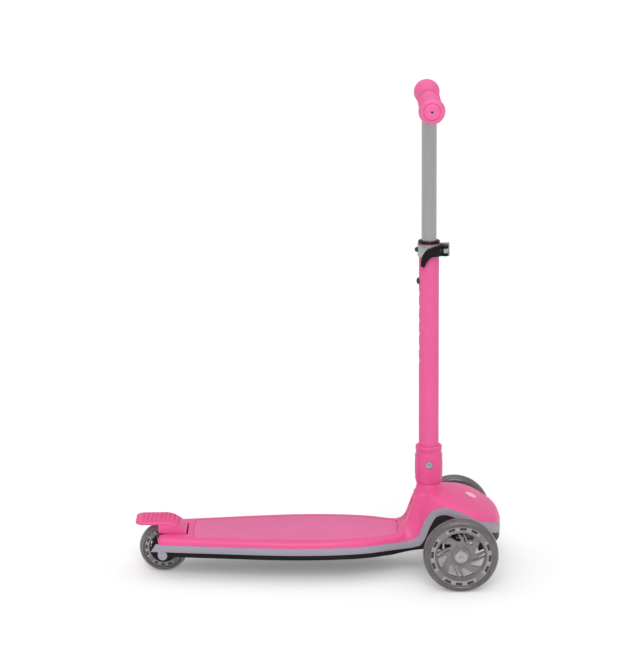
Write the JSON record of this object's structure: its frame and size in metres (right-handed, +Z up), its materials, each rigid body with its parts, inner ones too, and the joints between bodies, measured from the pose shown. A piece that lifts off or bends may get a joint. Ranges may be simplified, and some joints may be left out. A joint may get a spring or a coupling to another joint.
{
  "type": "kick scooter",
  "caption": "Three-wheel children's kick scooter with a lean-to-steer front truck, telescopic T-bar, quick-release clamp and rear brake pedal.",
  "frame": {"origin": "on the ground, under the middle of the scooter's bounding box", "axes": "+X forward, +Y to the rider's left, +Z up"},
  "size_m": [0.591, 0.2608, 0.7875],
  "materials": {
    "pink_shell": "satin moulded",
    "pink_pad": "fine-grained soft plastic",
    "pink_paint": "powder coat",
    "pink_grip": "soft matte",
    "lilac_plastic": "satin moulded",
    "black_plastic": "moulded",
    "silver_tube": "fine brushed",
    "steel": "zinc plated",
    "black_steel": "black coated",
    "smoky_tyre": "translucent polyurethane",
    "smoky_core": "translucent moulded",
    "led": "light strip",
    "bush_rubber": "moulded",
    "badge": "smooth",
    "spring_steel": "wire"
  },
  "bodies": {
    "deck": {"deck_shell": "pink_shell", "deck_pad": "pink_pad", "side_band": "lilac_plastic", "chassis_tray": "black_plastic", "tray_screws": "steel", "cowl_badge": "badge", "socket_tube": "steel", "socket_screws": "steel", "lock_collar": "pink_shell", "lock_screw": "steel", "lock_nut": "steel", "column_tube": "pink_paint", "column_bush": "black_plastic", "clamp_collar": "steel", "clamp_rivet": "black_steel", "clamp_bolt": "steel", "clamp_nut": "steel", "cam_pin": "steel", "pivot_bolt": "steel", "pivot_nut": "steel", "rear_axle_bolt": "steel", "rear_axle_nut": "steel", "rear_axle_sleeves": "steel", "pedal_pins": "steel", "pedal_springs": "spring_steel"},
    "handlebar": {"tbar_tube": "silver_tube", "tbar_guide": "black_plastic", "cross_bar": "silver_tube", "tee_cover": "pink_shell", "grip_left": "pink_grip", "grip_right": "pink_grip", "button_spring": "spring_steel"},
    "button": {"snap_button": "black_steel"},
    "lever": {"clamp_lever": "black_plastic"},
    "pedal": {"brake_pedal": "pink_shell", "brake_pad": "bush_rubber"},
    "rear_wheel": {"rear_tyre": "smoky_tyre", "rear_core": "smoky_core", "rear_leds": "led", "rear_bearings": "steel", "rear_spacer": "steel"},
    "front_beam": {"axle_beam": "black_plastic", "lean_bush": "bush_rubber", "kingpins": "steel"},
    "tie_bar": {"tie_rod": "black_steel"},
    "left_hub": {"left_knuckle": "black_plastic", "left_steer_pin": "steel", "left_axle": "steel"},
    "right_hub": {"right_knuckle": "black_plastic", "right_steer_pin": "steel", "right_axle": "steel"},
    "left_wheel": {"left_tyre": "smoky_tyre", "left_core": "smoky_core", "left_leds": "led", "left_bearings": "steel"},
    "right_wheel": {"right_tyre": "smoky_tyre", "right_core": "smoky_core", "right_leds": "led", "right_bearings": "steel"}
  },
  "joints": [
    {"name": "lean", "type": "hinge", "parent": "deck", "child": "front_beam", "pos_m": [0.226, 0, 0.046], "axis": [1, 0, 0], "range_deg": [-10, 10], "stiffness_Nm_per_rad": 40},
    {"name": "tie_slide", "type": "slide", "parent": "front_beam", "child": "tie_bar", "axis": [0, 1, 0], "range_m": [-0.0052, 0.0052]},
    {"name": "left_steer", "type": "hinge", "parent": "front_beam", "child": "left_hub", "pos_m": [0.226, 0.092, 0.06], "axis": [0, 0, 1], "range_deg": [-15, 15]},
    {"name": "right_steer", "type": "hinge", "parent": "front_beam", "child": "right_hub", "pos_m": [0.226, -0.092, 0.06], "axis": [0, 0, 1], "range_deg": [-15, 15]},
    {"name": "left_wheel_spin", "type": "hinge", "parent": "left_hub", "child": "left_wheel", "pos_m": [0.226, 0.1184, 0.06], "axis": [0, 1, 0], "continuous": true},
    {"name": "right_wheel_spin", "type": "hinge", "parent": "right_hub", "child": "right_wheel", "pos_m": [0.226, -0.1184, 0.06], "axis": [0, 1, 0], "continuous": true},
    {"name": "rear_wheel_spin", "type": "hinge", "parent": "deck", "child": "rear_wheel", "pos_m": [-0.251, 0, 0.04], "axis": [0, 1, 0], "continuous": true},
    {"name": "brake", "type": "hinge", "parent": "deck", "child": "pedal", "pos_m": [-0.216, 0, 0.0635], "axis": [0, -1, 0], "range_deg": [0, 4], "stiffness_Nm_per_rad": 1.5},
    {"name": "bar_height", "type": "slide", "parent": "deck", "child": "handlebar", "axis": [0, 0, 1], "range_m": [-0.132, 0]},
    {"name": "button_press", "type": "slide", "parent": "handlebar", "child": "button", "axis": [1, 0, 0], "range_m": [0, 0.0036], "stiffness_N_per_m": 600},
    {"name": "clamp_turn", "type": "hinge", "parent": "deck", "child": "lever", "pos_m": [0.20445, -0.0103, 0.53], "axis": [0, 0, 1], "range_deg": [0, 120]}
  ],
  "couplings": [
    {"joint": "tie_slide", "follows": "lean", "m_per_rad": 0.028},
    {"joint": "left_steer", "follows": "lean", "ratio": -1.4},
    {"joint": "right_steer", "follows": "lean", "ratio": -1.4}
  ]
}
